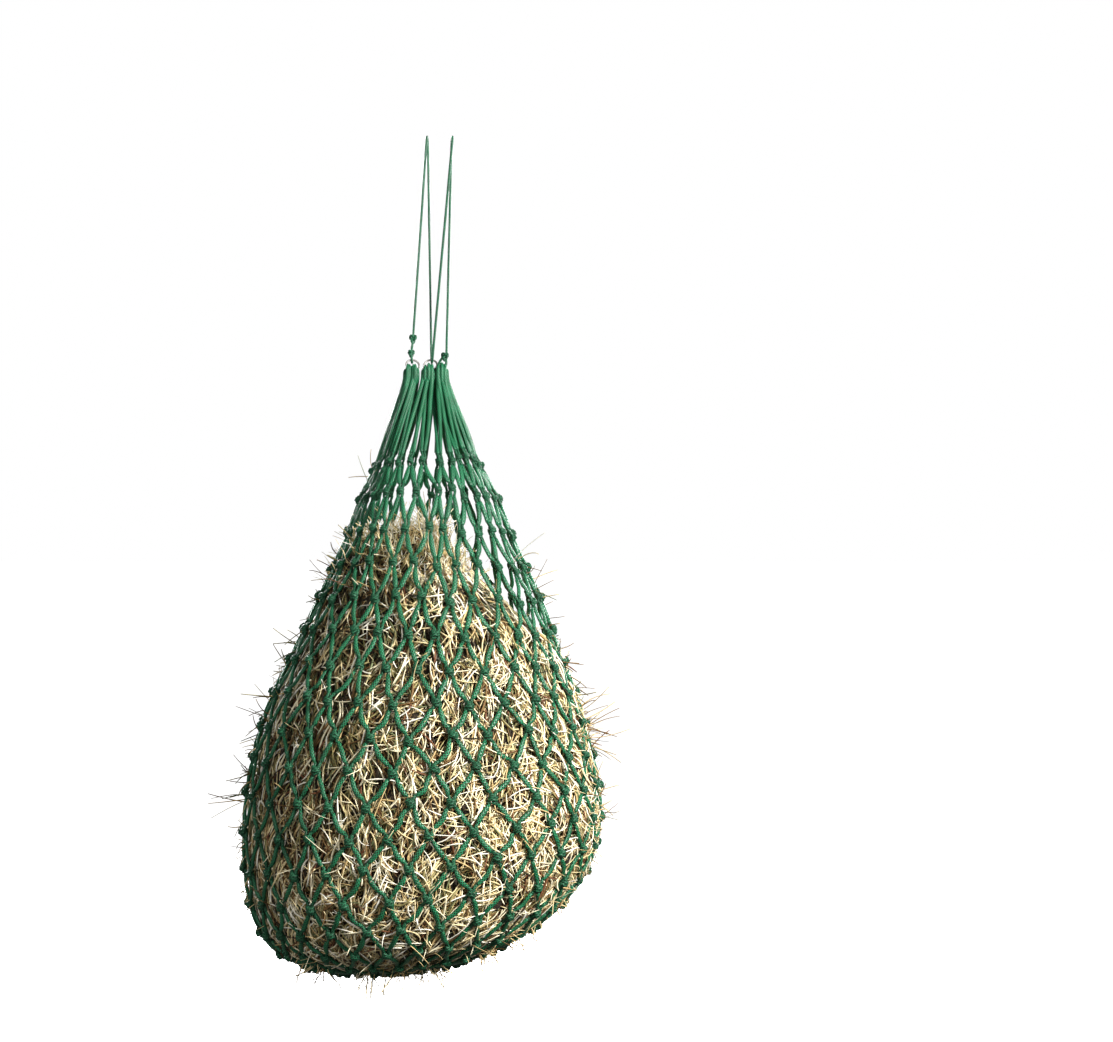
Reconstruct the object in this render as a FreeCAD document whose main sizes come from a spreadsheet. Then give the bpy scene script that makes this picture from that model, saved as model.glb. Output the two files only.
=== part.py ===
import FreeCAD, Part
import math
import os
import Sketcher

# A haynet filled with hay: knotted netting whose long top loops hang on two steel rings
# and on the eye of a drawstring, which goes up over a hanging rail and back twice.
#
# Frame: +Z up, +X to the right, -Y towards the viewer. The origin is on the drawstring's
# centre line where it crosses the rail, halfway between the two bights, so everything
# hangs below it and every height is a drop below the rail. Millimetres.

V = FreeCAD.Vector
doc = FreeCAD.newDocument("hay_net")

# ---------------------------------------------------------------- driving dimensions
SIZES = {
    # netting
    "meshes_round": 27,       # meshes in each round of the netting
    "net_bar": 48.0,          # knot to knot along one cord
    "net_cord": 4.2,          # diameter of the netting cord
    "knot_size": 10.6,        # diameter of one netting knot
    "strand_gap": 2.6,        # sideways distance of a cord from its knot's middle
    "cord_trim": 2.0,         # a cord ends this far inside its knot, short of the next cord
    # rings and hinge line
    "ring_drop": 292.0,       # height of the line on which the loops hang
    "ring_radius": 8.3,       # centre line of the ring's wire
    "ring_wire": 2.4,         # diameter of the ring's wire
    "ring_lean": 35.0,        # lean of the ring's plane away from the viewer, degrees
    "ring_turn": 10.0,        # turn of the ring's plane about the vertical, degrees
    "ring_left_x": -32.0,
    "ring_centre_x": -11.5,
    "eye_x": 4.0,             # middle of the drawstring's own eye
    # drawstring
    "drawstring_cord": 3.2,
    "rail_grip": 16.0,        # distance between the two legs where they leave the rail
    "left_bight_x": -14.5,
    "right_bight_x": 16.5,
    "pair_gap": 3.6,          # distance between the two parts of the cord inside a knot
    "ring_hold": 3.7,         # the cord passes this far before and behind a ring's top
    "ring_under": 3.3,        # and this far below it
    "eye_half_width": 5.0,
    "eye_rise": 10.5,         # from the bottom of the eye to its knot
    "upper_knot_drop": 251.5,
    "lower_knot_drop": 270.0,
    "eye_knot_drop": 274.0,
    "knot_width": 7.6,        # of a knot in the drawstring
    "knot_height": 9.0,
    # bunches of long loops
    "bunch_width": 5.6,       # width of a bunch where it folds over its ring
    "bunch_outer": 8.4,       # outer radius of the fold
    "bunch_hole": 3.7,        # inner radius of the fold
    "bunch_neck": 5.5,        # depth below the fold's middle where the bunch starts to fan out
    "bunch_thick": 12.6,      # front to back at that depth
    "bunch_fan": 30.0,        # depth at which the loops part into single strands
    "fan_width": 23.0,        # width of one bunch at that depth
    "fan_depth": 56.0,        # front to back at that depth
    "fan_gap": 0.6,           # space between two bunches at that depth
    "fan_edge": 3.6,          # outer strands' distance from the edge of the bunches
    "layer_gap": 5.2,         # from the outer strands to the inner ones
    "fan_squareness": 2.4,    # 2 is an ellipse, more is squarer
    "strand_bite": 2.0,       # length of a strand inside its bunch
    # filling
    "hay_inset": 10.5,        # the hay's surface stays this far inside the netting
    "hay_shoulder": 33.0,     # the same, at the hay's rounded top
    "hay_crown": 18.0,        # radius of the hay's highest section
    "hay_top_drop": 512.0,
    "stalk_size": 2.2,
    "stalk_reach": 44.0,      # how far the longest loose stalks stand out of the netting
    "stalk_root": 14.0,       # depth of a stalk's end inside the netting
    "stalk_droop": 12.0,
    # base
    "gather_radius": 39.0,    # bundle in which the lowest meshes are tied
    "gather_thickness": 9.0,
}

# Sections of the filled net, from the first row of knots down to the base:
# drop below the rail, radius, sideways shift of the middle, lean (right side up), degrees.
SECTIONS = [
    (407.0, 69.0, -12.0, 0.0),
    (454.0, 87.0, -12.0, 0.0),
    (498.0, 103.0, -12.0, 0.0),
    (538.0, 121.0, -11.5, 0.0),
    (580.0, 140.0, -12.0, 0.0),
    (642.0, 166.0, -15.0, 0.0),
    (704.0, 192.0, -18.5, 0.0),
    (766.0, 210.0, -20.5, 0.5),
    (829.0, 221.0, -20.5, 1.5),
    (891.0, 220.0, -23.0, 3.5),
    (946.0, 206.0, -28.0, 5.5),
    (990.0, 174.0, -35.0, 6.5),
    (1020.0, 124.0, -42.0, 6.0),
    (1034.0, 72.0, -46.0, 5.0),
    (1039.0, 38.0, -47.0, 5.0),
]
HAY_FIRST_SECTION = 3         # the hay starts below this section of the net
HAY_BASE_SECTION = 12         # from this section on the hay lies above the net, not beside it
SECTION_WORDS = ("drop", "radius", "shift", "lean")

sheet = doc.addObject("Spreadsheet::Sheet", "Dimensions")
for line, (alias, value) in enumerate(SIZES.items(), start=1):
    sheet.set(f"A{line}", alias)
    sheet.set(f"B{line}", str(value))
    sheet.setAlias(f"B{line}", alias)
for index, values in enumerate(SECTIONS):
    for column, word, value in zip("EFGH", SECTION_WORDS, values):
        sheet.set(f"{column}{index + 1}", str(value))
        sheet.setAlias(f"{column}{index + 1}", f"section_{word}_{index}")
doc.recompute()


def size(alias):
    """One driving dimension, read back from the sheet."""
    return float(sheet.get(alias))


nodes = {}


def add_feature(name, shape):
    """A sub-part whose shape is worked out here, because it follows the netting's surface."""
    feature = doc.addObject("Part::Feature", name)
    feature.Label = name
    feature.Shape = shape
    feature.Placement = FreeCAD.Placement()
    nodes[name] = feature
    return feature


# ---------------------------------------------------------------- the net's surface
MESHES = int(size("meshes_round"))
HALF_STEP = math.pi / MESHES
KNOT_RADIUS = size("knot_size") / 2
CORD_RADIUS = size("net_cord") / 2
STEPS_PER_SECTION = 40


def section_values(position):
    """Drop, radius, shift and lean at a position along the list of sections, by a cubic."""
    last = len(SECTIONS) - 1
    index = min(int(position), last - 1)
    along = position - index
    values = []
    for word in SECTION_WORDS:
        p = [size(f"section_{word}_{min(max(index + k, 0), last)}") for k in (-1, 0, 1, 2)]
        values.append(
            0.5 * (
                2 * p[1]
                + (p[2] - p[0]) * along
                + (2 * p[0] - 5 * p[1] + 4 * p[2] - p[3]) * along ** 2
                + (3 * p[1] - p[0] - 3 * p[2] + p[3]) * along ** 3
            )
        )
    return values


def lay_rows():
    """Sections of the knot rows: each is one bar further down the surface than the last."""
    count = (len(SECTIONS) - 1) * STEPS_PER_SECTION
    track = [section_values(i / STEPS_PER_SECTION) for i in range(count + 1)]
    lengths = [0.0]
    for before, after in zip(track, track[1:]):
        lengths.append(lengths[-1] + math.dist(before[:2], after[:2]))

    def at(length):
        for index in range(1, len(track)):
            if lengths[index] >= length:
                part = (length - lengths[index - 1]) / (lengths[index] - lengths[index - 1])
                return [a + (b - a) * part for a, b in zip(track[index - 1], track[index])]
        return track[-1]

    marks = [0.0]
    while marks[-1] < lengths[-1]:
        radius = at(marks[-1])[1]
        half_mesh = radius * HALF_STEP
        marks.append(marks[-1] + math.sqrt(size("net_bar") ** 2 - half_mesh ** 2))
    if marks[-1] - lengths[-1] > lengths[-1] - marks[-2]:
        marks.pop()
    scale = lengths[-1] / marks[-1]
    return [at(mark * scale) for mark in marks]


ROWS = lay_rows()
ROUNDS = len(ROWS) - 1


def surface_point(row, angle, inset=0.0):
    """A point on the filled net's surface; angle 0 is to the right and -90 degrees in front."""
    drop, radius, shift, lean = row
    out = (radius - inset) * math.cos(angle)
    tilt = math.radians(lean)
    return V(
        shift + out * math.cos(tilt),
        (radius - inset) * math.sin(angle),
        -drop + out * math.sin(tilt),
    )


def knot_angle(row_index, mesh):
    return 2 * HALF_STEP * (mesh + 0.5 * (row_index % 2))


def beside(row_index, mesh, side):
    """Where a cord leaves a knot: a little to one side of the knot's middle, and no more
    than a quarter of the way to the next knot."""
    angle = knot_angle(row_index, mesh)
    offset = min(size("strand_gap") / ROWS[row_index][1], HALF_STEP / 2)
    return surface_point(ROWS[row_index], angle + side * offset)


def rod(start, end, radius, start_trim=0.0, end_trim=0.0):
    """A straight rod between two points, cut short at its ends by the trims."""
    length = (end - start).Length
    direction = (end - start).normalize()
    length_left = length - start_trim - end_trim
    return Part.makeCylinder(radius, length_left, start + direction * start_trim, direction)


# ---------------------------------------------------------------- netting
def net_round(index):
    """One round of netting: two bars down from every knot of the row above it."""
    trim = size("cord_trim")
    bars = []
    for mesh in range(MESHES):
        lean_left = mesh if index % 2 else mesh - 1
        for side, below in ((-1, lean_left), (1, lean_left + 1)):
            top = beside(index, mesh, side)
            bottom = beside(index + 1, below, -side)
            bars.append(rod(top, bottom, CORD_RADIUS, trim, trim))
    return Part.makeCompound(bars)


def knot_row(index):
    """One row of netting knots."""
    knots = []
    for mesh in range(MESHES):
        middle = surface_point(ROWS[index], knot_angle(index, mesh))
        knots.append(Part.makeSphere(KNOT_RADIUS, middle))
    return Part.makeCompound(knots)


for number in range(ROUNDS):
    add_feature(f"net_knots_{number + 1:02d}", knot_row(number))
    add_feature(f"net_round_{number + 1:02d}", net_round(number))

# ---------------------------------------------------------------- base gather
gather = doc.addObject("Part::Cylinder", "base_gather")
gather.Label = "base_gather"
gather.setExpression("Radius", "Dimensions.gather_radius")
gather.setExpression("Height", "Dimensions.gather_thickness")
base_drop, base_radius, base_shift, base_lean = ROWS[-1]
gather.Placement = FreeCAD.Placement(
    V(base_shift, 0, -base_drop - size("gather_thickness") / 2),
    FreeCAD.Rotation(V(0, 1, 0), -base_lean),
)
nodes["base_gather"] = gather

# ---------------------------------------------------------------- bunches of long loops
BUNCHES = {
    "left": "ring_left_x",
    "centre": "ring_centre_x",
    "right": "eye_x",
}
FAN_MIDDLE = size("ring_centre_x") - 0.5
FAN_X = {
    "left": FAN_MIDDLE - size("fan_width") - size("fan_gap"),
    "centre": FAN_MIDDLE,
    "right": FAN_MIDDLE + size("fan_width") + size("fan_gap"),
}


def origin_plane(body, role):
    return next(item for item in body.Origin.OriginFeatures if item.Role == role)


def add_rectangle(sketch, width, height):
    """A rectangle about the sketch's origin whose two sizes are expressions."""
    corners = [V(-1, -1, 0), V(1, -1, 0), V(1, 1, 0), V(-1, 1, 0)]
    for index in range(4):
        sketch.addGeometry(Part.LineSegment(corners[index], corners[(index + 1) % 4]), False)
    for index in range(4):
        sketch.addConstraint(Sketcher.Constraint("Coincident", index, 2, (index + 1) % 4, 1))
    sketch.addConstraint(Sketcher.Constraint("Horizontal", 0))
    sketch.addConstraint(Sketcher.Constraint("Horizontal", 2))
    sketch.addConstraint(Sketcher.Constraint("Vertical", 1))
    sketch.addConstraint(Sketcher.Constraint("Vertical", 3))
    sketch.addConstraint(Sketcher.Constraint("Symmetric", 0, 1, 1, 2, -1, 1))
    width_index = sketch.addConstraint(Sketcher.Constraint("DistanceX", 0, 1, 0, 2, 2.0))
    height_index = sketch.addConstraint(Sketcher.Constraint("DistanceY", 1, 1, 1, 2, 2.0))
    sketch.setExpression(f"Constraints[{width_index}]", width)
    sketch.setExpression(f"Constraints[{height_index}]", height)


def add_circle(sketch, radius):
    """A circle about the sketch's origin whose radius is an expression."""
    sketch.addGeometry(Part.Circle(V(0, 0, 0), V(0, 0, 1), 1.0), False)
    sketch.addConstraint(Sketcher.Constraint("Coincident", 0, 3, -1, 1))
    radius_index = sketch.addConstraint(Sketcher.Constraint("Radius", 0, 1.0))
    sketch.setExpression(f"Constraints[{radius_index}]", radius)


def add_sketch(body, name, role, base, rotation=FreeCAD.Rotation()):
    sketch = body.newObject("Sketcher::SketchObject", name)
    sketch.AttachmentSupport = [(origin_plane(body, role), "")]
    sketch.MapMode = "FlatFace"
    sketch.AttachmentOffset = FreeCAD.Placement(base, rotation)
    return sketch


def loop_bunch(side):
    """The tops of nine long loops, folded over a ring or an eye and fanning out below it."""
    name = f"loop_bunch_{side}"
    hang_x = size(BUNCHES[side])
    body = doc.addObject("PartDesign::Body", name)
    body.Label = name

    fold = add_sketch(body, f"{name}_fold", "YZ_Plane", V(0, -size("ring_drop"), hang_x))
    add_circle(fold, "Dimensions.bunch_outer")
    pad = body.newObject("PartDesign::Pad", f"{name}_pad")
    pad.Profile = fold
    pad.setExpression("Length", "Dimensions.bunch_width")
    pad.Midplane = True

    neck_height = -size("ring_drop") - size("bunch_neck")
    neck = add_sketch(body, f"{name}_neck", "XY_Plane", V(hang_x, 0, neck_height))
    add_rectangle(neck, "Dimensions.bunch_width", "Dimensions.bunch_thick")
    fan_height = -size("ring_drop") - size("bunch_fan")
    fan = add_sketch(body, f"{name}_fan", "XY_Plane", V(FAN_X[side], 0, fan_height))
    add_rectangle(fan, "Dimensions.fan_width", "Dimensions.fan_depth")
    loft = body.newObject("PartDesign::AdditiveLoft", f"{name}_loft")
    loft.Profile = neck
    loft.Sections = [fan]
    loft.Ruled = True

    hole = add_sketch(body, f"{name}_hole", "YZ_Plane", V(0, -size("ring_drop"), hang_x))
    add_circle(hole, "Dimensions.bunch_hole")
    pocket = body.newObject("PartDesign::Pocket", f"{name}_pocket")
    pocket.Profile = hole
    pocket.Type = "ThroughAll"
    pocket.Midplane = True
    body.Tip = pocket
    body.Placement = FreeCAD.Placement()
    nodes[name] = body
    return body


for side in BUNCHES:
    loop_bunch(side)


# ---------------------------------------------------------------- long strands of the collar
def strand_top(turn, layer):
    """Upper end of a long strand, in one of two rounded rings just inside the bunches."""
    inset = size("fan_edge") + layer * size("layer_gap")
    power = size("fan_squareness")
    reach = (abs(math.cos(turn)) ** power + abs(math.sin(turn)) ** power) ** (-1 / power)
    return V(
        FAN_MIDDLE + (1.5 * size("fan_width") - inset) * reach * math.cos(turn),
        (0.5 * size("fan_depth") - inset) * reach * math.sin(turn),
        -size("ring_drop") - size("bunch_fan") + size("strand_bite"),
    )


def collar_strands(first, last):
    """Long strands from the first row of knots up to the bunches, for some of the meshes."""
    strands = []
    for mesh in range(first, last):
        for side in (-1, 1):
            turn = knot_angle(0, mesh) + side * HALF_STEP / 2
            layer = 0 if side < 0 else 1
            bottom = beside(0, mesh, side)
            top = strand_top(turn, layer)
            strands.append(rod(bottom, top, CORD_RADIUS, size("cord_trim")))
    return Part.makeCompound(strands)


for number, side in enumerate(("back_right", "left", "front_right")):
    first = number * MESHES // 3
    last = (number + 1) * MESHES // 3
    add_feature(f"collar_strands_{side}", collar_strands(first, last))


# ---------------------------------------------------------------- steel rings
def steel_ring(name, alias, turn):
    """A ring of round wire whose lowest point is on the hinge line."""
    ring = doc.addObject("Part::Torus", name)
    ring.Label = name
    ring.setExpression("Radius1", "Dimensions.ring_radius")
    ring.setExpression("Radius2", "Dimensions.ring_wire / 2")
    lean = FreeCAD.Rotation(V(1, 0, 0), 90 - size("ring_lean"))
    rotation = FreeCAD.Rotation(V(0, 0, 1), turn).multiply(lean)
    middle = rotation.multVec(V(0, size("ring_radius"), 0))
    ring.Placement = FreeCAD.Placement(
        V(size(alias), 0, -size("ring_drop")) + middle, rotation
    )
    nodes[name] = ring
    return ring


ring_left = steel_ring("ring_left", "ring_left_x", size("ring_turn"))
ring_centre = steel_ring("ring_centre", "ring_centre_x", -size("ring_turn"))
for ring in (ring_left, ring_centre):
    axis = ring.Placement.Rotation.multVec(V(0, 0, 1))
    print("ring", ring.Name, "middle", ring.Placement.Base, "axis", axis)


# ---------------------------------------------------------------- drawstring
def ring_top(ring):
    """The highest point of a ring's centre line."""
    return ring.Placement.multVec(V(0, size("ring_radius"), 0))


def rounded_path(points):
    """Straight runs joined by tangent arcs, each as large as its two runs allow."""
    edges = []
    radii = []
    start = points[0]
    for before, corner, after in zip(points, points[1:], points[2:]):
        inward = corner - before
        outward = after - corner
        turn = inward.getAngle(outward)
        setback = 0.45 * min(inward.Length, outward.Length)
        inward.normalize()
        outward.normalize()
        arc_start = corner - inward * setback
        arc_end = corner + outward * setback
        radius = setback / math.tan(turn / 2)
        to_middle = outward - inward
        to_middle.normalize()
        middle = corner + to_middle * (radius / math.cos(turn / 2) - radius)
        edges.append(Part.LineSegment(start, arc_start).toShape())
        edges.append(Part.Arc(arc_start, middle, arc_end).toShape())
        radii.append(round(radius, 1))
        start = arc_end
    edges.append(Part.LineSegment(start, points[-1]).toShape())
    return Part.Wire(edges), radii


def drawstring_route():
    """From the knot over the left ring, over the rail, through the centre ring, over the
    rail again and into the eye on the right."""
    half_grip = size("rail_grip") / 2
    eye = size("eye_x")
    bottom = -size("ring_drop")
    left_top = ring_top(ring_left)
    centre_top = ring_top(ring_centre)
    low_knot = V(left_top.x - 0.9, left_top.y, -size("lower_knot_drop"))
    high_knot = V(left_top.x + 1.2, left_top.y - 0.6, -size("upper_knot_drop"))
    grip = size("ring_hold")
    under = size("ring_under")
    half_eye = size("eye_half_width")
    pair_gap = size("pair_gap") / 2
    return [
        low_knot + V(0, pair_gap, 0),
        left_top + V(0, grip, -under),
        left_top + V(0, -grip, -under),
        low_knot + V(0, -pair_gap, 0),
        high_knot,
        V(size("left_bight_x") - 0.6, -half_grip, 0),
        V(size("left_bight_x") + 0.6, half_grip, 0),
        centre_top + V(0.6, grip, -under),
        centre_top + V(1.4, -grip, -under),
        V(size("right_bight_x") + 0.8, -half_grip, 0),
        V(size("right_bight_x") - 0.6, half_grip, 0),
        V(eye + 5.4, 0.9, -size("eye_knot_drop")),
        V(eye + half_eye, 0, bottom),
        V(eye - half_eye, 0, bottom),
        V(eye - half_eye + 0.4, 0, bottom + size("eye_rise")),
        V(eye + 5.4 - size("pair_gap"), 0.4, -size("eye_knot_drop") - 0.5),
    ]


route = drawstring_route()
path, radii = rounded_path(route)
tangent = (route[1] - route[0]).normalize()
circle = Part.Wire(Part.makeCircle(size("drawstring_cord") / 2, route[0], tangent))
tube = path.makePipeShell([circle], True, False)
section_area = math.pi * size("drawstring_cord") ** 2 / 4
print("drawstring radii", radii)
print("drawstring length", round(path.Length, 1), "volume", round(tube.Volume, 1),
      "of", round(section_area * path.Length, 1))
for point in route:
    print("   route", [round(value, 2) for value in point])
add_feature("drawstring", tube)

KNOT_MIDDLES = {
    "drawstring_knot_upper": route[4],
    "drawstring_knot_lower": (route[0] + route[3]) / 2,
    "drawstring_eye_knot": (route[-5] + route[-1]) / 2,
}
for name, middle in KNOT_MIDDLES.items():
    knot = doc.addObject("Part::Ellipsoid", name)
    knot.Label = name
    knot.setExpression("Radius1", "Dimensions.knot_height / 2")
    knot.setExpression("Radius2", "Dimensions.knot_width / 2")
    knot.setExpression("Radius3", "Dimensions.knot_width / 2")
    knot.Placement = FreeCAD.Placement(middle, FreeCAD.Rotation())
    nodes[name] = knot

# ---------------------------------------------------------------- hay
hay = doc.addObject("PartDesign::Body", "hay_core")
hay.Label = "hay_core"
crown_middle = V(size("section_shift_0"), 0, -size("hay_top_drop"))
crown = add_sketch(hay, "hay_crown_section", "XY_Plane", crown_middle)
add_circle(crown, "Dimensions.hay_crown")
hay_sketches = [crown]
for index in range(HAY_FIRST_SECTION, len(SECTIONS)):
    drop, radius, shift, lean = (size(f"section_{word}_{index}") for word in SECTION_WORDS)
    inset = "Dimensions.hay_inset"
    if index == HAY_FIRST_SECTION:
        inset = "Dimensions.hay_shoulder"
    lift = size("hay_inset") if index >= HAY_BASE_SECTION else 0
    middle = V(shift, 0, lift - drop)
    tilt = FreeCAD.Rotation(V(0, 1, 0), -lean)
    section = add_sketch(hay, f"hay_section_{index}", "XY_Plane", middle, tilt)
    add_circle(section, f"Dimensions.section_radius_{index} - {inset}")
    hay_sketches.append(section)
hay_loft = hay.newObject("PartDesign::AdditiveLoft", "hay_loft")
hay_loft.Profile = hay_sketches[0]
hay_loft.Sections = hay_sketches[1:]
hay.Placement = FreeCAD.Placement()
nodes["hay_core"] = hay

STALK_ROWS = range(4, ROUNDS - 1)
STALKS_PER_ROW = 6


def hay_stalks():
    """Loose stalks that stand out of the netting, each through the middle of a mesh."""
    stalks = []
    for index in STALK_ROWS:
        for number in range(STALKS_PER_ROW):
            spread = MESHES * (number + 0.37 * index) / STALKS_PER_ROW
            angle = knot_angle(index, math.floor(spread) + 0.5)
            reach = size("stalk_reach") * (0.6 + 0.4 * math.cos(3.7 * index + number) ** 2)
            root = surface_point(ROWS[index], angle, size("stalk_root"))
            tip = surface_point(ROWS[index], angle, -reach)
            droop = size("stalk_droop") * math.sin(1.9 * index + number)
            stalks.append(rod(root, tip + V(0, 0, droop), size("stalk_size") / 2))
    return Part.makeCompound(stalks)


add_feature("hay_stalks", hay_stalks())

# ---------------------------------------------------------------- check and write
doc.recompute()
for item in doc.Objects:
    if "Invalid" in item.State or "Error" in item.State:
        raise RuntimeError(f"{item.Name} failed: {item.State}")

os.makedirs("parts", exist_ok=True)
for name, item in nodes.items():
    shape = item.Shape
    if shape.isNull() or not shape.isValid():
        raise RuntimeError(f"{name} has no valid shape")
    shape.exportStep(f"parts/{name}.step")

print("rounds", ROUNDS, "nodes", len(nodes))
for index, row in enumerate(ROWS):
    print("row", index + 1, [round(value, 1) for value in row])
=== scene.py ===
import math

import bpy
import numpy as np
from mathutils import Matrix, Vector


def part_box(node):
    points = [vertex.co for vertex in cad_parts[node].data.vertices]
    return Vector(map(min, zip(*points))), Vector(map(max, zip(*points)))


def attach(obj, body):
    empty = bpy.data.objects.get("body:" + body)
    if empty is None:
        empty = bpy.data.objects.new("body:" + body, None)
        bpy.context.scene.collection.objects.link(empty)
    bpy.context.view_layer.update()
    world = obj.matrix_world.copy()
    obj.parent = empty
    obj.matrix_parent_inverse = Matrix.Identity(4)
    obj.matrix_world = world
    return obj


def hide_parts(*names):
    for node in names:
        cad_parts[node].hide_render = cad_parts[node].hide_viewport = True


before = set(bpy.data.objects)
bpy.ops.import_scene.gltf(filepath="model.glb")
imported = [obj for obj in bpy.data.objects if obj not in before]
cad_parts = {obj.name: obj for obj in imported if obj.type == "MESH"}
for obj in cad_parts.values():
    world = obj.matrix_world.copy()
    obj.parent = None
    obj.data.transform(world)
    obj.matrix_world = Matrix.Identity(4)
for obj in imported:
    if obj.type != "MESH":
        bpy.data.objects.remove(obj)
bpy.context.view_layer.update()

# A filled haynet. Everything is in metres, in the frame of the CAD: +Z up, +X right, the
# viewer at -Y, and the origin on the drawstring where it crosses the hanging rail.

MM = 0.001
TURN = 2 * math.pi

# -------- sizes
MESHES = 27  # meshes in each round of the netting
BAR = 48 * MM  # knot to knot
CORD = 6.6 * MM  # the netting cord's width across its flat side
CORD_FLATNESS = 0.60  # thickness over width
KNOT_CORD = 4.6 * MM  # the same cord pulled tight and round in a knot
DRAWSTRING = 3.2 * MM
MESH_TURN = TURN / MESHES  # the angle that one mesh takes up
HALF_MESH = MESH_TURN / 2
RING_DROP = 292 * MM
RING_RADIUS = 8.3 * MM
RING_WIRE = 2.4 * MM
BASE_RADIUS = 38  # of the last row of knots, in millimetres

# Sections of the filled net from the first row of knots to the base:
# drop below the rail, radius, sideways shift (mm), lean with the right side up (degrees).
SECTIONS = np.array([
    (407, 64, -14, 0.0),
    (454, 87, -12, 0.0),
    (498, 103, -12, 0.0),
    (538, 121, -11.5, 0.0),
    (580, 140, -12, 0.0),
    (642, 166, -15, 0.0),
    (704, 192, -18.5, 0.0),
    (766, 210, -20.5, 0.5),
    (829, 221, -20.5, 1.5),
    (891, 220, -23, 3.5),
    (946, 206, -28, 5.5),
    (990, 174, -35, 6.5),
    (1020, 124, -42, 6.0),
    (1034, 72, -46, 5.0),
    (1039, BASE_RADIUS, -47, 5.0),
]) * (MM, MM, MM, math.pi / 180)

# -------- camera
VIEW_WIDTH = 1.391  # width of the view where the object hangs
VIEW_CENTRE = (0.147, -0.480)
CAMERA_X = -0.012
CAMERA_DISTANCE = 4.0
SENSOR = 36.0


def make_camera():
    data = bpy.data.cameras.new("camera")
    data.sensor_width = SENSOR
    data.lens = SENSOR * CAMERA_DISTANCE / VIEW_WIDTH
    data.shift_x = (VIEW_CENTRE[0] - CAMERA_X) / VIEW_WIDTH
    camera = bpy.data.objects.new("camera", data)
    camera.location = (CAMERA_X, -CAMERA_DISTANCE, VIEW_CENTRE[1])
    camera.rotation_euler = (math.pi / 2, 0, 0)
    bpy.context.scene.collection.objects.link(camera)
    bpy.context.scene.camera = camera


make_camera()


# -------- the net's surface
def dense_sections(steps=40):
    """The sections joined by a cubic, and the distance down the surface at each."""
    last = len(SECTIONS) - 1
    padded = np.vstack([SECTIONS[:1], SECTIONS, SECTIONS[-1:]])
    track = []
    for index in range(last):
        p0, p1, p2, p3 = padded[index:index + 4]
        for along in np.arange(steps) / steps:
            track.append(0.5 * (
                2 * p1
                + (p2 - p0) * along
                + (2 * p0 - 5 * p1 + 4 * p2 - p3) * along ** 2
                + (3 * p1 - p0 - 3 * p2 + p3) * along ** 3
            ))
    track.append(SECTIONS[-1])
    track = np.array(track)
    steps_long = np.linalg.norm(np.diff(track[:, :2], axis=0), axis=1)
    return track, np.concatenate([[0], np.cumsum(steps_long)])


TRACK, TRACK_LENGTH = dense_sections()


def row_marks():
    """Distances down the surface of the knot rows, one bar after another."""
    marks = [0.0]
    while marks[-1] < TRACK_LENGTH[-1]:
        radius = np.interp(marks[-1], TRACK_LENGTH, TRACK[:, 1])
        marks.append(marks[-1] + math.sqrt(BAR ** 2 - (radius * HALF_MESH) ** 2))
    if marks[-1] - TRACK_LENGTH[-1] > TRACK_LENGTH[-1] - marks[-2]:
        marks.pop()
    return np.array(marks) * TRACK_LENGTH[-1] / marks[-1]


MARKS = row_marks()
ROUNDS = len(MARKS) - 1


NECK_SLOPE = (0.93, 0.37)  # drop and radius per bar of length, above the first row


def section_at(row):
    """Drop, radius, shift and lean at a row number, which may be a fraction."""
    length = np.interp(row, np.arange(ROUNDS + 1), MARKS)
    beyond = np.minimum(row, 0) * BAR
    values = [np.interp(length, TRACK_LENGTH, TRACK[:, k]) for k in range(4)]
    values[0] = values[0] + beyond * NECK_SLOPE[0]
    values[1] = values[1] + beyond * NECK_SLOPE[1]
    return values


def surface(row, mesh, lift=0.0, narrow=1.0):
    """Points on the filled net: row number, place round it in meshes, height above it."""
    drop, radius, shift, lean = section_at(row)
    angle = np.asarray(mesh) * MESH_TURN
    out = (radius + lift) * narrow
    across = out * np.cos(angle)
    return np.stack([
        shift + across * np.cos(lean),
        out * np.sin(angle),
        -drop + across * np.sin(lean),
    ], axis=-1)


def unit(vectors):
    return vectors / np.maximum(np.linalg.norm(vectors, axis=-1, keepdims=True), 1e-12)


def surface_frame(row, mesh):
    """Sideways, upward and outward directions on the net's surface."""
    sideways = unit(surface(row, mesh + 0.02) - surface(row, mesh - 0.02))
    up = unit(surface(row - 0.05, mesh) - surface(row + 0.05, mesh))
    outward = unit(np.cross(sideways, up))
    return sideways, unit(np.cross(outward, sideways)), outward


# -------- mesh making
def make_object(name, verts, quads, caps, uvs, materials, material_index=None):
    """A mesh from arrays: four-sided faces, then end caps of any one number of sides."""
    mesh = bpy.data.meshes.new(name)
    corners = np.concatenate([quads.ravel(), caps.ravel()]).astype(np.int32)
    sizes = np.concatenate([np.full(len(quads), 4), np.full(len(caps), caps.shape[1])])
    starts = np.concatenate([[0], np.cumsum(sizes)[:-1]]).astype(np.int32)
    mesh.vertices.add(len(verts))
    mesh.vertices.foreach_set("co", verts.astype(np.float32).ravel())
    mesh.loops.add(len(corners))
    mesh.loops.foreach_set("vertex_index", corners)
    mesh.polygons.add(len(sizes))
    mesh.polygons.foreach_set("loop_start", starts)
    if material_index is not None:
        mesh.polygons.foreach_set("material_index", material_index.astype(np.int32))
    mesh.polygons.foreach_set("use_smooth", np.full(len(sizes), True))
    if uvs is not None:
        layer = mesh.uv_layers.new(name="braid")
        layer.data.foreach_set("uv", uvs.astype(np.float32).ravel())
    mesh.update(calc_edges=True)
    mesh.validate()
    for material in materials:
        mesh.materials.append(material)
    piece = bpy.data.objects.new(name, mesh)
    bpy.context.scene.collection.objects.link(piece)
    return piece


NO_CAPS = np.zeros((0, 4), int)


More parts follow.
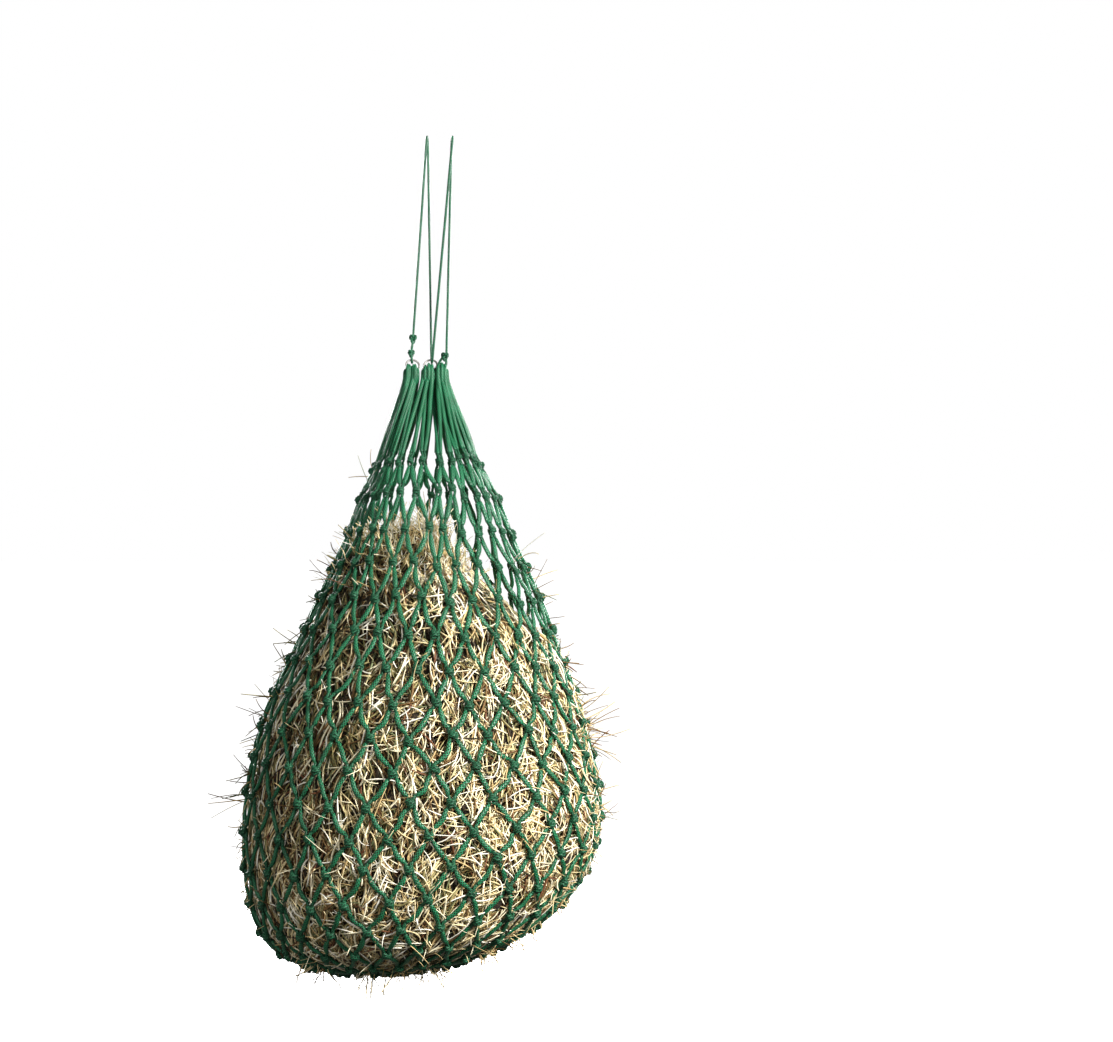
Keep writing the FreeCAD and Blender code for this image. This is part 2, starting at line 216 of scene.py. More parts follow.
def sweep(paths, outward, half_width, half_thickness, sides):
    """Tubes of oval section along many paths of equal point count, as mesh arrays."""
    count, points, _ = paths.shape
    along = unit(np.gradient(paths, axis=1))
    across = unit(np.cross(along, outward))
    outward = np.cross(across, along)
    turn = np.arange(sides) * TURN / sides
    wide = np.broadcast_to(half_width, (count, points))[:, :, None, None]
    thick = np.broadcast_to(half_thickness, (count, points))[:, :, None, None]
    verts = (
        paths[:, :, None, :]
        + wide * np.cos(turn)[:, None] * across[:, :, None, :]
        + thick * np.sin(turn)[:, None] * outward[:, :, None, :]
    )
    index = np.arange(count * points * sides).reshape(count, points, sides)
    beside = np.roll(index, -1, axis=2)
    quads = np.stack(
        [index[:, :-1], beside[:, :-1], beside[:, 1:], index[:, 1:]], axis=-1
    ).reshape(-1, 4)
    caps = np.concatenate([index[:, 0, ::-1], index[:, -1]])
    steps = np.linalg.norm(np.diff(paths, axis=1), axis=2)
    distance = np.concatenate([np.zeros((count, 1)), np.cumsum(steps, axis=1)], axis=1)
    around = np.arange(sides + 1) / sides
    low = np.broadcast_to(around[:-1], (count, points - 1, sides))
    high = np.broadcast_to(around[1:], (count, points - 1, sides))
    near = np.broadcast_to(distance[:, :-1, None], low.shape)
    far = np.broadcast_to(distance[:, 1:, None], low.shape)
    quad_uvs = np.stack([
        np.stack([low, near], -1), np.stack([high, near], -1),
        np.stack([high, far], -1), np.stack([low, far], -1),
    ], axis=-2).reshape(-1, 2)
    cap_uvs = np.zeros((caps.size, 2))
    return verts.reshape(-1, 3), quads, caps, np.concatenate([quad_uvs, cap_uvs])


def join(parts):
    """Several sets of mesh arrays as one."""
    verts, quads, caps, quad_uvs, cap_uvs = [], [], [], [], []
    first = 0
    for part_verts, part_quads, part_caps, part_uvs in parts:
        verts.append(part_verts)
        quads.append(part_quads + first)
        caps.append(part_caps + first)
        quad_uvs.append(part_uvs[:len(part_quads) * 4])
        cap_uvs.append(part_uvs[len(part_quads) * 4:])
        first += len(part_verts)
    return (
        np.concatenate(verts), np.concatenate(quads), np.concatenate(caps),
        np.concatenate(quad_uvs + cap_uvs),
    )


def smooth_paths(controls, samples):
    """Uniform cubic B-splines through clamped control points: [path, point, 3]."""
    first = 2 * controls[:, :1] - controls[:, 1:2]
    last = 2 * controls[:, -1:] - controls[:, -2:-1]
    padded = np.concatenate([first, controls, last], axis=1)
    spans = padded.shape[1] - 3
    place = np.linspace(0, spans, samples)
    span = np.minimum(place.astype(int), spans - 1)
    t = (place - span)[:, None]
    p = [padded[:, span + k] for k in range(4)]
    return (
        (1 - t) ** 3 * p[0]
        + (3 * t ** 3 - 6 * t ** 2 + 4) * p[1]
        + (-3 * t ** 3 + 3 * t ** 2 + 3 * t + 1) * p[2]
        + t ** 3 * p[3]
    ) / 6


# -------- materials
def linear(red, green, blue):
    """A display colour, 0 to 255, as Blender's linear colour."""
    def channel(value):
        value /= 255
        return value / 12.92 if value <= 0.04045 else ((value + 0.055) / 1.055) ** 2.4
    return (channel(red), channel(green), channel(blue), 1.0)


class Nodes:
    """A short way to write a material's nodes."""

    def __init__(self, name):
        self.material = bpy.data.materials.new(name)
        self.material.use_nodes = True
        self.tree = self.material.node_tree
        self.shader = self.tree.nodes["Principled BSDF"]

    def add(self, kind, **settings):
        node = self.tree.nodes.new(kind)
        for key, value in settings.items():
            setattr(node, key, value)
        return node

    def link(self, source, target):
        self.tree.links.new(source, target)

    def put(self, socket, value):
        if isinstance(value, bpy.types.NodeSocket):
            self.link(value, socket)
        else:
            socket.default_value = value

    def shade(self, socket, value):
        self.put(self.shader.inputs[socket], value)

    def maths(self, operation, first, second, third=0.5):
        node = self.add("ShaderNodeMath", operation=operation)
        for socket, value in zip(node.inputs, (first, second, third)):
            self.put(socket, value)
        return node.outputs[0]

    def noise(self, scale, detail=3.0, roughness=0.6):
        coordinates = self.add("ShaderNodeTexCoord")
        node = self.add("ShaderNodeTexNoise")
        self.link(coordinates.outputs["Object"], node.inputs["Vector"])
        node.inputs["Scale"].default_value = scale
        node.inputs["Detail"].default_value = detail
        node.inputs["Roughness"].default_value = roughness
        return node.outputs["Fac"]

    def ramp(self, factor, *stops):
        node = self.add("ShaderNodeValToRGB")
        elements = node.color_ramp.elements
        while len(elements) < len(stops):
            elements.new(0.5)
        for element, (position, colour) in zip(elements, stops):
            element.position = position
            element.color = colour
        self.link(factor, node.inputs["Fac"])
        return node.outputs["Color"]

    def multiply(self, first, second):
        node = self.add("ShaderNodeMix", data_type="RGBA", blend_type="MULTIPLY")
        self.put(node.inputs["Factor"], 1.0)
        self.put(node.inputs["A"], first)
        self.put(node.inputs["B"], second)
        return node.outputs["Result"]

    def bump(self, height, strength, distance):
        node = self.add("ShaderNodeBump")
        self.link(height, node.inputs["Height"])
        node.inputs["Strength"].default_value = strength
        node.inputs["Distance"].default_value = distance
        self.link(node.outputs["Normal"], self.shader.inputs["Normal"])


def braided_cord(name, light, middle, dark, plaits=5, pitch=0.0042, dullness=0.58):
    """Braided polypropylene: two sets of plaits that cross, grooves, wear and dirt. The grooves
    are painted darker as shade and the ridges lighter as highlights.
    """
    nodes = Nodes(name)
    uv = nodes.add("ShaderNodeUVMap", uv_map="braid")
    split = nodes.add("ShaderNodeSeparateXYZ")
    nodes.link(uv.outputs["UV"], split.inputs["Vector"])
    around = nodes.maths("MULTIPLY", split.outputs["X"], TURN * plaits)
    along = nodes.maths("MULTIPLY", split.outputs["Y"], TURN / pitch)
    right_hand = nodes.maths("SINE", nodes.maths("ADD", around, along), 0.0)
    left_hand = nodes.maths("SINE", nodes.maths("SUBTRACT", around, along), 0.0)
    plait = nodes.maths("MAXIMUM", right_hand, left_hand)
    height = nodes.maths("MULTIPLY_ADD", plait, 0.5, 0.5)
    grime = nodes.noise(60.0, 4.0)
    # Dark in the grooves is painted shade, and light on the ridges is a painted highlight.
    colour = nodes.ramp(height, (0.32, dark), (0.76, middle), (1.0, light))
    tint = nodes.ramp(grime, (0.30, (0.55, 0.62, 0.55, 1)), (0.62, (1.08, 1.05, 1.0, 1)))
    nodes.shade("Base Color", nodes.multiply(colour, tint))
    nodes.shade("Roughness", nodes.maths("MULTIPLY_ADD", height, -0.20, dullness))
    nodes.bump(height, 0.55, 0.0006)
    nodes.shade("Specular IOR Level", 0.34)
    return nodes.material


def steel_wire():
    """Plated ring wire, bright, with fine scratches and a little tarnish."""
    nodes = Nodes("plated_wire")
    tarnish = nodes.noise(240.0, 5.0)
    colour = nodes.ramp(tarnish, (0.35, linear(112, 104, 94)), (0.6, linear(182, 180, 176)))
    nodes.shade("Base Color", colour)
    nodes.shade("Roughness", nodes.maths("MULTIPLY_ADD", tarnish, 0.35))
    nodes.shade("Metallic", 1.0)
    nodes.bump(nodes.noise(900.0, 2.0), 0.15, 0.0002)
    return nodes.material


def hay_mass():
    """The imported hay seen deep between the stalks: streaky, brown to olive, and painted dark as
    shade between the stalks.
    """
    nodes = Nodes("hay_mass")
    streaks = nodes.noise(180.0, 8.0, 0.75)
    patches = nodes.noise(22.0, 3.0)
    # Near-black to mid brown: painted shade deep in the hay. The streaks and patches are the
    # hay's own.
    colour = nodes.ramp(
        streaks, (0.34, linear(14, 9, 4)), (0.54, linear(44, 31, 14)),
        (0.76, linear(104, 82, 46)),
    )
    tint = nodes.ramp(patches, (0.3, (0.7, 0.75, 0.55, 1)), (0.7, (1.1, 1.0, 0.9, 1)))
    nodes.shade("Base Color", nodes.multiply(colour, tint))
    nodes.shade("Roughness", 0.9)
    nodes.bump(streaks, 1.0, 0.004)
    return nodes.material


def stalk_material(name, colour, roughness):
    """One tone of dry stalk. Each stalk is a few millimetres wide, so a tone is even."""
    nodes = Nodes(name)
    nodes.shade("Base Color", linear(*colour))
    nodes.shade("Roughness", roughness)
    nodes.shade("Specular IOR Level", 0.35)
    return nodes.material


# Each cord's light colour is a painted highlight on the braid's ridges, and its dark colour is
# painted shade in the grooves.
NET_GREEN = braided_cord(
    "net_cord_braid", linear(42, 132, 90), linear(4, 64, 36), linear(1, 17, 9)
)
# The knot cord is the net cord painted a little darker: painted shade in the knots and in the
# base tie.
SHADED_KNOT_GREEN = braided_cord(
    "net_knot_braid_shaded", linear(32, 108, 72), linear(4, 56, 32), linear(1, 15, 8),
    dullness=0.74,
)
DRAWSTRING_GREEN = braided_cord(
    "drawstring_braid", linear(34, 108, 74), linear(9, 70, 44), linear(2, 30, 17),
    plaits=4, pitch=0.0034,
)

# -------- drawstring
GRIP = 8.0 * MM  # half the distance between its legs at the rail
RING_LEAN = math.radians(35)
RING_TURN = math.radians(10)


def ring_point(name, angle):
    """A point on a ring's centre line; angle 0 is its lowest point and pi its highest."""
    x, turn = RINGS[name]
    rise = RING_RADIUS * (1 - math.cos(angle))
    side = RING_RADIUS * math.sin(angle)
    back = rise * math.sin(RING_LEAN)
    return Vector((
        x + side * math.cos(turn) - back * math.sin(turn),
        back * math.cos(turn) + side * math.sin(turn),
        -RING_DROP + rise * math.cos(RING_LEAN),
    ))


RINGS = {"ring_left": (-0.032, RING_TURN), "ring_centre": (-0.0115, -RING_TURN)}
EYE_X = 0.004


def drawstring_route():
    """From the knot above the left ring, through that ring and up over the rail, down
    through the centre ring, over the rail again and down into the eye on the right."""
    left = ring_point("ring_left", math.pi)
    centre = ring_point("ring_centre", math.pi)
    low_knot = Vector((left.x - 0.0009, left.y, -0.270))
    high_knot = Vector((left.x + 0.0012, left.y - 0.0006, -0.2515))
    reach = 6 * DRAWSTRING
    left_front = Vector((-0.0151, -GRIP, 0))
    left_back = Vector((-0.0139, GRIP, 0))
    right_front = Vector((0.0173, -GRIP, 0))
    right_back = Vector((0.0159, GRIP, 0))
    centre_back = centre + Vector((0.0006, 0.0037, -0.0033))
    centre_front = centre + Vector((0.0014, -0.0037, -0.0033))
    eye_top = Vector((EYE_X + 0.0054, 0.0009, -0.274))

    def near(point, towards):
        return point + (towards - point).normalized() * reach

    return [
        low_knot + Vector((0, 0.0018, 0)),
        left + Vector((0, 0.0037, -0.0033)),
        left + Vector((0, -0.0037, -0.0033)),
        low_knot + Vector((0, -0.0018, 0)),
        high_knot,
        near(high_knot, left_front),
        near(left_front, high_knot),
        left_front,
        left_back,
        near(left_back, centre_back),
        near(centre_back, left_back),
        centre_back,
        centre_front,
        near(centre_front, right_front),
        near(right_front, centre_front),
        right_front,
        right_back,
        near(right_back, eye_top),
        near(eye_top, right_back),
        eye_top,
        Vector((EYE_X + 0.005, 0, -RING_DROP)),
        Vector((EYE_X - 0.005, 0, -RING_DROP)),
        Vector((EYE_X - 0.0046, 0, -RING_DROP + 0.0105)),
        Vector((EYE_X + 0.0018, 0.0004, -0.2745)),
    ]


def nurbs_line(route, resolution=12):
    """Points along the smooth line that a NURBS curve draws from a route."""
    curve = bpy.data.curves.new("route", "CURVE")
    curve.dimensions = "3D"
    curve.resolution_u = resolution
    spline = curve.splines.new("NURBS")
    spline.points.add(len(route) - 1)
    for point, place in zip(spline.points, route):
        point.co = (*place, 1.0)
    spline.order_u = 3
    spline.use_endpoint_u = True
    holder = bpy.data.objects.new("route", curve)
    bpy.context.scene.collection.objects.link(holder)
    mesh = bpy.data.meshes.new_from_object(holder)
    line = np.array([vertex.co[:] for vertex in mesh.vertices])
    bpy.data.objects.remove(holder)
    bpy.data.meshes.remove(mesh)
    return line


def even_line(line, spacing):
    """The same line with evenly spaced points."""
    steps = np.linalg.norm(np.diff(line, axis=0), axis=1)
    distance = np.concatenate([[0], np.cumsum(steps)])
    places = np.linspace(0, distance[-1], max(2, int(distance[-1] / spacing)))
    return np.stack([np.interp(places, distance, line[:, k]) for k in range(3)], axis=1)


def turning_normals(line):
    """A direction square to the line at each point, carried along without twisting."""
    along = unit(np.gradient(line, axis=0))
    normal = unit(np.cross(along[0], (0.3, 0.9, 0.2)))
    normals = []
    for direction in along:
        normal = normal - direction * np.dot(normal, direction)
        normal = normal / np.linalg.norm(normal)
        normals.append(normal)
    return np.array(normals)


def cord_piece(name, lines, width, material, sides=10, flatness=1.0):
    """One piece of round or oval cord from one or more lines."""
    parts = []
    for line in lines:
        outward = turning_normals(line)
        parts.append(sweep(
            line[None], outward[None], width / 2, width / 2 * flatness, sides
        ))
    return make_object(name, *join(parts), [material])


def make_drawstring():
    route = drawstring_route()
    line = even_line(nurbs_line(route), 1.2 * MM)
    piece = cord_piece("drawstring_cord", [line], DRAWSTRING, DRAWSTRING_GREEN)
    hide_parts("drawstring")
    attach(piece, "drawstring")
    knots = [
        ("upper_overhand_knot", "drawstring_knot_upper", 1.0),
        ("lower_overhand_knot", "drawstring_knot_lower", 0.86),
        ("eye_overhand_knot", "drawstring_eye_knot", 1.0),
    ]
    for name, node, scale in knots:
        low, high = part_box(node)
        knot = overhand_knot(name, np.array((low + high) / 2), scale)
        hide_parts(node)
        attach(knot, "drawstring")


def overhand_knot(name, middle, scale):
    """A tight overhand knot: a trefoil of cord pulled long in the direction of the leg."""
    turn = np.linspace(0, TURN, 72)
    size = 1.15 * DRAWSTRING * scale
    line = np.stack([
        size * 0.42 * (np.sin(turn) + 2 * np.sin(2 * turn)),
        size * 0.42 * (np.cos(turn) - 2 * np.cos(2 * turn)),
        -size * 1.0 * np.sin(3 * turn),
    ], axis=1)
    line = line[:, [0, 2, 1]] * (0.9, 0.8, 1.15) + middle
    return cord_piece(name, [line], DRAWSTRING * 0.92, DRAWSTRING_GREEN, 8)


make_drawstring()


# -------- steel rings
RING_STEPS = 96
RING_SIDES = 12


def make_ring(name):
    turn = np.linspace(0, TURN, RING_STEPS + 1)[:-1]
    line = np.array([ring_point(name, angle)[:] for angle in turn])
    middle = line.mean(axis=0)
    out = unit(line - middle)
    axis = unit(np.cross(line[0] - middle, line[RING_STEPS // 4] - middle))
    round_wire = np.arange(RING_SIDES) * TURN / RING_SIDES
    verts = (
        line[:, None, :]
        + RING_WIRE / 2 * np.cos(round_wire)[None, :, None] * out[:, None, :]
        + RING_WIRE / 2 * np.sin(round_wire)[None, :, None] * axis[None, None, :]
    ).reshape(-1, 3)
    index = np.arange(RING_STEPS * RING_SIDES).reshape(RING_STEPS, RING_SIDES)
    beside = np.roll(index, -1, axis=1)
    ahead = np.roll(index, -1, axis=0)
    quads = np.stack([index, ahead, np.roll(ahead, -1, axis=1), beside], -1).reshape(-1, 4)
    piece = make_object(f"{name}_wire", verts, quads, NO_CAPS, None, [PLATED_WIRE])
    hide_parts(name)
    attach(piece, name)


PLATED_WIRE = steel_wire()
for ring in RINGS:
    make_ring(ring)

# -------- netting
chance = np.random.default_rng(41)
KNOT_REACH = 2.2 * KNOT_CORD / BAR  # share of a bar that belongs to the knot at each end
BAR_SAG = 0.055  # how far the hay pushes the middle of a bar down, in rows


# Waves in the rows of knots in the neck: size, waves round the net, turn from row to row.
NECK_WAVES = [(0.26, 4, 0.8), (0.16, 9, 2.1)]
NECK_ROWS = 2.2  # rows over which the neck's unevenness dies away
BASE_ROWS = 4  # rows over which the base's knots become even


def knot_places():
    """Row number and place round the net of every knot, uneven as in real netting."""
    rows = []
    places = []
    for index in range(ROUNDS + 1):
        mesh = np.arange(MESHES) + 0.5 * (index % 2)
        neck = math.exp(-index / NECK_ROWS)
        bottom = max(0.0, (index - ROUNDS + BASE_ROWS) / BASE_ROWS)
        wander = np.zeros(MESHES)
        for size, waves, turn in NECK_WAVES:
            wander += size * neck * np.sin(TURN * mesh * waves / MESHES + turn * index)
        wander += chance.normal(0, 0.055 + 0.07 * neck, MESHES) * (1 - 0.8 * bottom)
        height = chance.normal(0, 0.050 + 0.05 * neck, MESHES) * (1 - bottom)
        height += 0.10 * np.sin(TURN * mesh * 2 / MESHES + 1.0 + 0.5 * index)
        rows.append(index + height * (index < ROUNDS))
        places.append(mesh + wander)
    return rows, places


KNOT_ROW, KNOT_MESH = knot_places()


def neighbour_below(index, side):
    """For each knot of a row, which knot of the next row its left or right cord goes to."""
    mesh = np.arange(MESHES)
    step = (0 if side > 0 else -1) if index % 2 == 0 else (1 if side > 0 else 0)
    return (mesh + step) % MESHES


def bar_ends(index, side):
    """Knot places at both ends of every bar of a round on one side, without a jump."""
    below = neighbour_below(index, side)
    top = np.stack([KNOT_ROW[index], KNOT_MESH[index]], -1)
    bottom = np.stack([KNOT_ROW[index + 1][below], KNOT_MESH[index + 1][below]], -1)
    gap = bottom[:, 1] - top[:, 1]
    bottom[:, 1] -= MESHES * np.round(gap / MESHES)
    return top, bottom


def bars(index, side, samples=11):
    """Paths of the bars of one round on one side."""
    top, bottom = bar_ends(index, side)
    along = np.linspace(KNOT_REACH, 1 - KNOT_REACH, samples)
    place = top[:, None, :] + (bottom - top)[:, None, :] * along[None, :, None]
    bow = chance.normal(0, 0.035, (MESHES, 1)) * np.sin(math.pi * along)
    bend = chance.normal(0, 0.020, (MESHES, 1)) * np.sin(TURN * along)
    ease = np.sin(math.pi * (along - KNOT_REACH) / (1 - 2 * KNOT_REACH))
    mesh = place[:, :, 1] + (bow + bend) * ease
    row = place[:, :, 0] + BAR_SAG * (1 + chance.normal(0, 0.5, (MESHES, 1))) * ease
    lift = 1.0 * MM * ease
    paths = surface(row, mesh, lift)
    outward = surface_frame(row, mesh)[2]
    return paths, outward


def netting_round(index):
    """One round of netting cord, from one row of knots to the next."""
    parts = []
    for side in (-1, 1):
        paths, outward = bars(index, side)
        spread = np.sin(math.pi * np.linspace(0, 1, paths.shape[1])) ** 0.6
        wide = (KNOT_CORD + (CORD - KNOT_CORD) * spread)[None] / 2
        thick = (KNOT_CORD + (CORD * CORD_FLATNESS - KNOT_CORD) * spread)[None] / 2
        parts.append(sweep(paths, outward, wide, thick, 8))
    piece = make_object(f"netting_round_{index + 1:02d}", *join(parts), [NET_GREEN])
    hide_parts(f"net_round_{index + 1:02d}")
    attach(piece, "net")


# A netting knot in cord widths: sideways, up, outward. The cord from above makes the
# bight, and the cord of the round below wraps it and tucks under itself.
BIGHT = [(-0.62, 1.15, 0.10), (-0.52, 0.2, 0.15), (-0.50, -0.9, 0.25), (0.0, -1.45, 0.35),
         (0.50, -0.9, 0.25), (0.52, 0.2, 0.15), (0.62, 1.15, 0.10)]
WRAP_TURNS = 2.25
WRAP_START = math.radians(215)
WRAP_POINTS = 15


def wrap_points():
    """The wrapping cord's turns round the bight."""
    points = [(-0.75, -1.35, -0.15)]
    for step in range(WRAP_POINTS):
        share = step / (WRAP_POINTS - 1)
        turn = WRAP_START - share * WRAP_TURNS * TURN
        points.append((
            1.05 * math.cos(turn), -0.72 + 1.45 * share, 0.30 + 0.85 * math.sin(turn)
        ))
    points.append((0.95, -0.25, -0.45))
    points.append((0.80, -1.30, -0.15))
    return points


NECK_PULL = 0.30  # share of its width that a neck knot's cord is pulled in by
PULL_ROWS = 2.5  # rows over which that pull dies away


def knot_cord(index):
    """The cord's width in the knots of a row: pulled tightest in the neck."""
    return KNOT_CORD * (1 - NECK_PULL * math.exp(-index / PULL_ROWS))


def knot_paths(index, shape, ends):
    """World paths of one part of every knot in a row, between two given end points."""
    row, mesh = KNOT_ROW[index], KNOT_MESH[index]
    middle = surface(row, mesh, 1.2 * MM)
    sideways, up, outward = surface_frame(row, mesh)
    spin = chance.normal(0, 0.28, MESHES)[:, None]
    level = sideways * np.cos(spin) + up * np.sin(spin)
    rise = up * np.cos(spin) - sideways * np.sin(spin)
    local = np.array(shape) * knot_cord(index)
    inner = (
        middle[:, None, :]
        + local[None, :, 0, None] * level[:, None, :]
        + local[None, :, 1, None] * rise[:, None, :]
        + local[None, :, 2, None] * outward[:, None, :]
    )
    controls = np.concatenate([ends[0][:, None], inner, ends[1][:, None]], axis=1)
    return controls, outward


def bar_points(index, side, end):
    """Where the bars of a round meet their knots: at the top or at the bottom end."""
    top, bottom = bar_ends(index, side)
    share = KNOT_REACH if end == "top" else 1 - KNOT_REACH
    place = top + (bottom - top) * share
    points = surface(place[:, 0], place[:, 1])
    if end == "top":
        return points
    ordered = np.empty_like(points)
    ordered[neighbour_below(index, side)] = points
    return ordered


def netting_knots(index):
    """One row of netting knots."""
    if index == 0:
        above = [COLLAR_START[-1], COLLAR_START[1]]
    else:
        above = [bar_points(index - 1, 1, "bottom"), bar_points(index - 1, -1, "bottom")]
    below = [bar_points(index, -1, "top"), bar_points(index, 1, "top")]
    parts = []
    for shape, ends, samples in ((BIGHT, above, 22), (wrap_points(), below, 46)):
        controls, outward = knot_paths(index, shape, ends)
        paths = smooth_paths(controls, samples)
        normals = np.broadcast_to(outward[:, None, :], paths.shape)
        wide = knot_cord(index) * 0.49
        parts.append(sweep(paths, normals, wide, wide * 0.9, 7))
    piece = make_object(f"netting_knots_{index + 1:02d}", *join(parts), [SHADED_KNOT_GREEN])
    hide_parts(f"net_knots_{index + 1:02d}")
    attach(piece, "net")


# Where the two long strands of each top loop leave the first row of knots.
STRAND_GAP = 0.13
COLLAR_START = {
    side: surface(KNOT_ROW[0] - KNOT_REACH, KNOT_MESH[0] + side * STRAND_GAP)
    for side in (-1, 1)
}
for number in range(ROUNDS):
    netting_round(number)
for number in range(ROUNDS):
    netting_knots(number)

# -------- long top loops
BUNCHES = {
    # middle of the bunch, how far its loops spread to each side, CAD nodes it stands for
    "left": (-0.0345, 8.0 * MM, ("loop_bunch_left", "collar_strands_left")),
    "centre": (-0.0130, 7.0 * MM, ("loop_bunch_centre", "collar_strands_back_right")),
    "right": (0.0034, 6.9 * MM, ("loop_bunch_right", "collar_strands_front_right")),
}
LOOP_CORD = 4.2 * MM
LOOP_SWELL = 1.3 * MM  # how much wider a loop's cord is where nothing squeezes it
LOOP_FLATNESS = 0.8
# The round bundle that the loops make where they fold: place to the side as a share of
# the spread, and radius of the fold in millimetres, from left to right.
FOLD_SLOTS = [(-1.0, 4.9), (-0.74, 3.2), (-0.60, 7.4), (-0.33, 5.6), (-0.04, 3.1),
              (0.05, 8.3), (0.34, 5.7), (0.62, 7.5), (0.75, 3.2), (1.0, 4.8)]


# A fold over the wire in fold radii: sideways, from the front to the back, and up.
FOLD = np.array([(0, 1.1, -1.9), (0, 1.15, -0.3), (0, 0.75, 1.1), (0, -0.75, 1.1),
                 (0, -1.15, -0.3), (0, -1.0, -1.9)])
OUTER_DROOP = 4.5 * MM  # how much lower the outermost folds of a bunch hang


def bunch_of(turn):
    """Which ring or eye a loop hangs on."""
    across = math.cos(turn)
    return "left" if across < -0.50 else "right" if across > 0.25 else "centre"


def strand(knot, fold, slack):
    """Points from a knot most of the way up to a fold."""
    return [knot, knot + (fold - knot) * 0.33 + slack, knot + (fold - knot) * 0.7]


def top_loop(mesh, bunch, slot):
    """One long loop: up from a knot, over its ring's wire, and down to the next knot."""
    hang_x, spread, _ = BUNCHES[bunch]
    start = COLLAR_START[1][mesh]
    end = COLLAR_START[-1][(mesh + 1) % MESHES]
    turn = MESH_TURN * (mesh + 0.5)
    front = -1 if math.sin(turn) < 0 else 1
    share, fold_radius = FOLD_SLOTS[slot]
    droop = OUTER_DROOP * share ** 2 + chance.uniform(-1.0, 1.0) * MM
    wire = np.array([hang_x + share * spread, 0, -RING_DROP - droop])
    fold = wire + FOLD * (1, front, 1) * (fold_radius * MM)
    slack = chance.normal(0, 1.3 * MM, (2, 3)) * (1, 0.6, 0)
    up = strand(start, fold[0], slack[0])
    down = strand(end, fold[-1], slack[1])
    return np.array([*up, *fold, *down[::-1]])


def make_collar():
    """The long loops, in one piece for each bunch that they hang in."""
    for bunch, (hang_x, _, nodes) in BUNCHES.items():
        turns = [MESH_TURN * (mesh + 0.5) for mesh in range(MESHES)]
        members = [mesh for mesh in range(MESHES) if bunch_of(turns[mesh]) == bunch]
        members.sort(key=lambda mesh: math.cos(turns[mesh]))
        loops = []
        for place, mesh in enumerate(members):
            slot = round(place * (len(FOLD_SLOTS) - 1) / (len(members) - 1))
            loops.append(top_loop(mesh, bunch, slot))
        paths = smooth_paths(np.array(loops), 110)
        outward = unit((paths - (hang_x, 0, 0)) * (0.3, 1, 0) + (0, 1e-5, 0))
        halfway = np.sin(math.pi * np.abs(np.linspace(-1, 1, paths.shape[1])))
        half = (LOOP_CORD + LOOP_SWELL * halfway)[None, :] / 2
        piece = make_object(f"long_loops_{bunch}", *sweep(
            paths, outward, half, half * LOOP_FLATNESS, 9
        ), [NET_GREEN])
        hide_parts(*nodes)
        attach(piece, "net")


make_collar()


# -------- base gather
WHIPPING = [(34, -3.5), (30, 0.0), (34, 3.5)]  # radius and height of each turn, in mm
SPOKES = 9  # cords that cross the gather
SPOKE_REACH = 33 * MM
SPOKE_SLOPE = 0.09


def make_base():
    """The lowest meshes drawn together and whipped round with a length of cord."""
    turn = np.linspace(0, TURN, 121)
    lines = []
    for radius, lift in WHIPPING:
        ring = surface(np.full(turn.shape, float(ROUNDS)), turn / MESH_TURN)
        middle = ring.mean(axis=0)
        line = middle + (ring - middle) * (radius / BASE_RADIUS) + (0, 0, lift * MM)
        lines.append(line + 0.6 * MM * np.sin(9 * turn)[:, None] * (0, 0, 1))
    for start in range(SPOKES):
        angle = start * TURN / SPOKES
        spoke = np.linspace(-1, 1, 24)
        across = np.array([math.cos(angle), math.sin(angle), SPOKE_SLOPE * math.cos(angle)])
        line = middle + spoke[:, None] * across * SPOKE_REACH
        lines.append(line + np.outer(1 - spoke ** 2, (0, 0, (start % 3 - 1) * 4 * MM)))
    piece = cord_piece("base_tie", lines, CORD, SHADED_KNOT_GREEN, 8, CORD_FLATNESS)
    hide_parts("base_gather")
    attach(piece, "net")


make_base()

# -------- hay
TONES = [
    ("stalk_cream", (240, 228, 192), 0.50, 0.24),
    ("stalk_straw", (222, 202, 152), 0.52, 0.24),
    ("stalk_tan", (194, 166, 114), 0.55, 0.16),
    ("stalk_olive", (148, 136, 86), 0.60, 0.12),
    ("stalk_green_grey", (104, 110, 74), 0.60, 0.06),
    ("stalk_brown", (114, 86, 48), 0.62, 0.12),
    ("stalk_red_brown", (112, 70, 42), 0.62, 0.05),
    ("stalk_dark", (46, 36, 20), 0.70, 0.05),
    ("stalk_bleached", (250, 244, 226), 0.45, 0.04),
]
TONE_SHARES = np.array([tone[3] for tone in TONES])
TONE_SHARES = TONE_SHARES / TONE_SHARES.sum()
STALK_MATERIALS = [stalk_material(name, colour, rough) for name, colour, rough, _ in TONES]


HEAP_TOP = 1.9  # the row that the top of the heap comes up to
HEAP_MEETS = 4.0  # the row where the heap meets the net, on average
HEAP_SLANT = 1.6  # how many rows lower it meets the net on the right
BULGE = 4.5 * MM  # how far hay stands out in the middle of a mesh
SUNK = 3.2 * MM  # how far its surface lies inside the cords
CROWDED_BULGE = 3.0 * MM  # what is taken off the bulge where the netting crowds it
CROWDED_SINK = 5.8 * MM  # and how much deeper it lies there


def hay_fullness(row, mesh):
    """How far out the hay reaches at a place, as a share of the net's radius. The heap's
    top is a dome that meets the net lower down on the right than on the left."""
    angle = np.asarray(mesh) * MESH_TURN
    meets = HEAP_MEETS + HEAP_SLANT * np.cos(angle) + 0.2 * np.sin(2 * angle + 0.6)
    roundness = 1.55 - 0.45 * np.cos(angle)
    share = np.clip((meets - row) / (meets - HEAP_TOP), 0, 1)
    return np.maximum(1 - share ** roundness, 0) ** (1 / roundness)


def between_cords(row, mesh):
    """From 0 along a cord to 1 in the middle of a mesh."""
    left = np.abs(np.sin(math.pi * (mesh + row / 2)))
    right = np.abs(np.sin(math.pi * (mesh - row / 2)))
    return left * right


